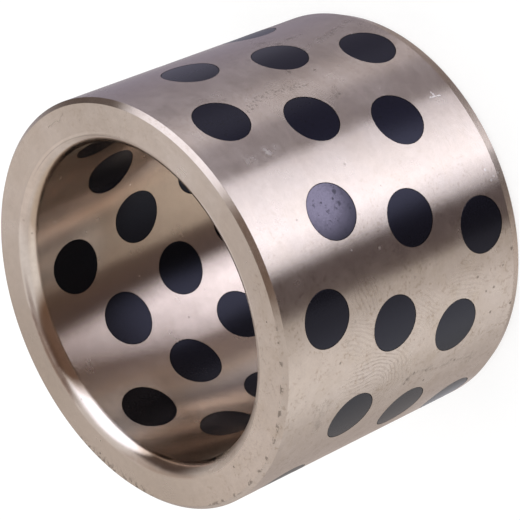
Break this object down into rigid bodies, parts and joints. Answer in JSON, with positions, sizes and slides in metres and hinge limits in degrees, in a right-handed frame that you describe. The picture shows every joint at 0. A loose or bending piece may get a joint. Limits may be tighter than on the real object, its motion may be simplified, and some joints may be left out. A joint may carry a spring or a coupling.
{
  "type": "graphite plugged bushing",
  "caption": "Plain cylindrical bronze sleeve bearing with round graphite plugs set flush through its wall; pressed into a housing, it carries a turning or sliding shaft without oil.",
  "frame": {"origin": "centre of the lower end, on the bush's axis, where it stands", "axes": "+Z along the bush's axis, from the end with the long lead-in chamfer to the other; +X and +Y only fix where the plugs stand round the wall"},
  "size_m": [0.045, 0.045, 0.035],
  "materials": {
    "bronze": "fine turned, semi-bright",
    "graphite": "machined flush, matt with a faint sheen"
  },
  "bodies": {
    "root": {"bronze_sleeve": "bronze", "graphite_plug_1_1": "graphite", "graphite_plug_1_2": "graphite", "graphite_plug_1_3": "graphite", "graphite_plug_1_4": "graphite", "graphite_plug_1_5": "graphite", "graphite_plug_1_6": "graphite", "graphite_plug_2_1": "graphite", "graphite_plug_2_2": "graphite", "graphite_plug_2_3": "graphite", "graphite_plug_2_4": "graphite", "graphite_plug_2_5": "graphite", "graphite_plug_2_6": "graphite", "graphite_plug_3_1": "graphite", "graphite_plug_3_2": "graphite", "graphite_plug_3_3": "graphite", "graphite_plug_3_4": "graphite", "graphite_plug_3_5": "graphite", "graphite_plug_3_6": "graphite", "graphite_plug_4_1": "graphite", "graphite_plug_4_2": "graphite", "graphite_plug_4_3": "graphite", "graphite_plug_4_4": "graphite", "graphite_plug_4_5": "graphite", "graphite_plug_4_6": "graphite", "graphite_plug_5_1": "graphite", "graphite_plug_5_2": "graphite", "graphite_plug_5_3": "graphite", "graphite_plug_5_4": "graphite", "graphite_plug_5_5": "graphite", "graphite_plug_5_6": "graphite", "graphite_plug_6_1": "graphite", "graphite_plug_6_2": "graphite", "graphite_plug_6_3": "graphite", "graphite_plug_6_4": "graphite", "graphite_plug_6_5": "graphite", "graphite_plug_6_6": "graphite"}
  },
  "joints": []
}
